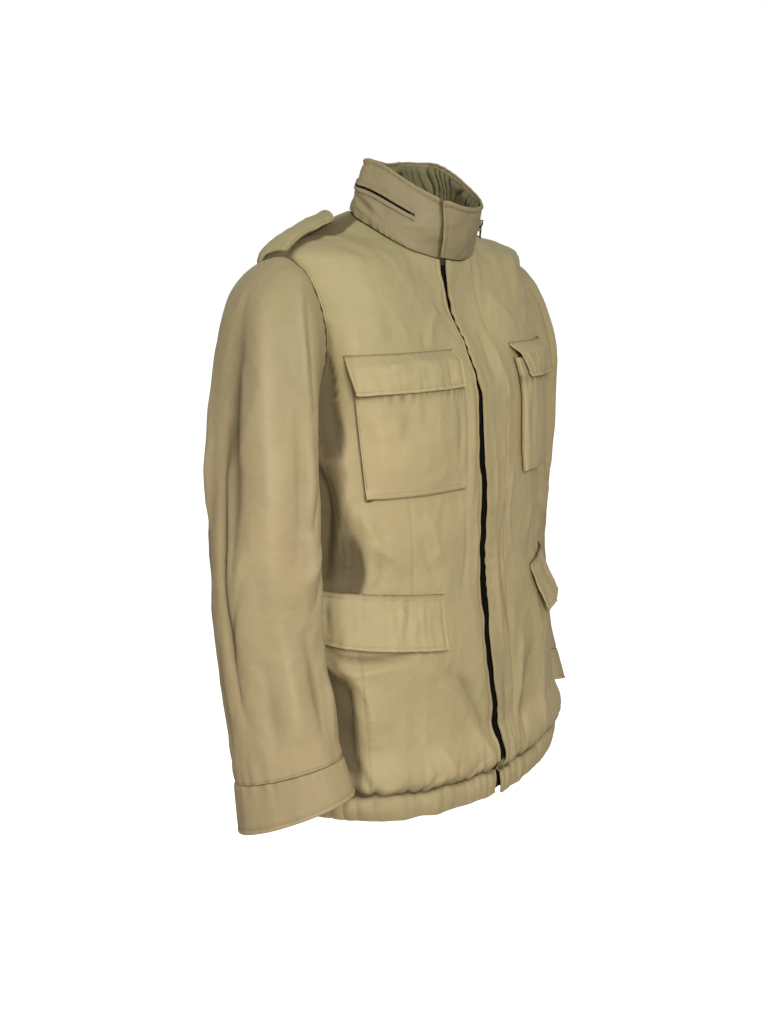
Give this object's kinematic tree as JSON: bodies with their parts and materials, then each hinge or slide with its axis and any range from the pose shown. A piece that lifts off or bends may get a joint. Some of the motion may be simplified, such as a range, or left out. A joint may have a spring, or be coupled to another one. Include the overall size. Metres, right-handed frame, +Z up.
{
  "type": "safari jacket",
  "caption": "Field-style safari jacket in smooth padded cloth, filled out as worn, with a stand collar, flap pockets, shoulder straps and a collar zip.",
  "frame": {"origin": "midway between the two high shoulder points, where the neck seam meets the shoulder seams and the jacket rests on its wearer", "axes": "+Z up, -Y the jacket's front, +X the wearer's left"},
  "size_m": [0.7314, 0.3105, 0.8282],
  "materials": {
    "left_front": "smooth khaki shell cloth, faint sheen",
    "right_front": "smooth khaki shell cloth, faint sheen",
    "back": "smooth khaki shell cloth, faint sheen",
    "left_side": "smooth khaki shell cloth, faint sheen",
    "right_side": "smooth khaki shell cloth, faint sheen",
    "hem_band": "smooth khaki shell cloth, gathered",
    "left_sleeve": "smooth khaki shell cloth, faint sheen",
    "right_sleeve": "smooth khaki shell cloth, faint sheen",
    "left_cuff": "smooth khaki shell cloth, faint sheen",
    "right_cuff": "smooth khaki shell cloth, faint sheen",
    "collar": "smooth khaki shell cloth, faint sheen",
    "collar_lining": "gathered khaki lining cloth, dull",
    "collar_zip_tape": "black woven zip tape and teeth",
    "collar_zip_upper_lip": "smooth khaki shell cloth, topstitched",
    "collar_zip_lower_lip": "smooth khaki shell cloth, topstitched",
    "collar_zip_slider": "satin black enamel",
    "collar_zip_pull": "satin black enamel",
    "right_chest_pocket": "smooth khaki shell cloth, faint sheen",
    "left_chest_pocket": "smooth khaki shell cloth, faint sheen",
    "right_chest_flap": "smooth khaki shell cloth, topstitched",
    "left_chest_flap": "smooth khaki shell cloth, topstitched",
    "right_lower_flap": "smooth khaki shell cloth, topstitched",
    "left_lower_flap": "smooth khaki shell cloth, topstitched",
    "left_shoulder_strap": "smooth khaki shell cloth, topstitched",
    "right_shoulder_strap": "smooth khaki shell cloth, topstitched",
    "front_zip_tape": "black woven zip tape and teeth"
  },
  "bodies": {
    "jacket": {"left_front": "left_front", "right_front": "right_front", "back": "back", "left_side": "left_side", "right_side": "right_side", "hem_band": "hem_band", "left_sleeve": "left_sleeve", "right_sleeve": "right_sleeve", "left_cuff": "left_cuff", "right_cuff": "right_cuff", "collar": "collar", "collar_lining": "collar_lining", "collar_zip_tape": "collar_zip_tape", "collar_zip_upper_lip": "collar_zip_upper_lip", "collar_zip_lower_lip": "collar_zip_lower_lip", "collar_zip_slider": "collar_zip_slider", "right_chest_pocket": "right_chest_pocket", "left_chest_pocket": "left_chest_pocket", "right_chest_flap": "right_chest_flap", "left_chest_flap": "left_chest_flap", "right_lower_flap": "right_lower_flap", "left_lower_flap": "left_lower_flap", "left_shoulder_strap": "left_shoulder_strap", "right_shoulder_strap": "right_shoulder_strap", "front_zip_tape": "front_zip_tape"},
    "zip_pull": {"collar_zip_pull": "collar_zip_pull"}
  },
  "joints": [
    {"name": "zip_pull_hinge", "type": "hinge", "parent": "jacket", "child": "zip_pull", "pos_m": [0.0596, -0.09033, -0.01516], "axis": [-0.6707, -0.636, -0.3817], "range_deg": [-8, 135]}
  ]
}
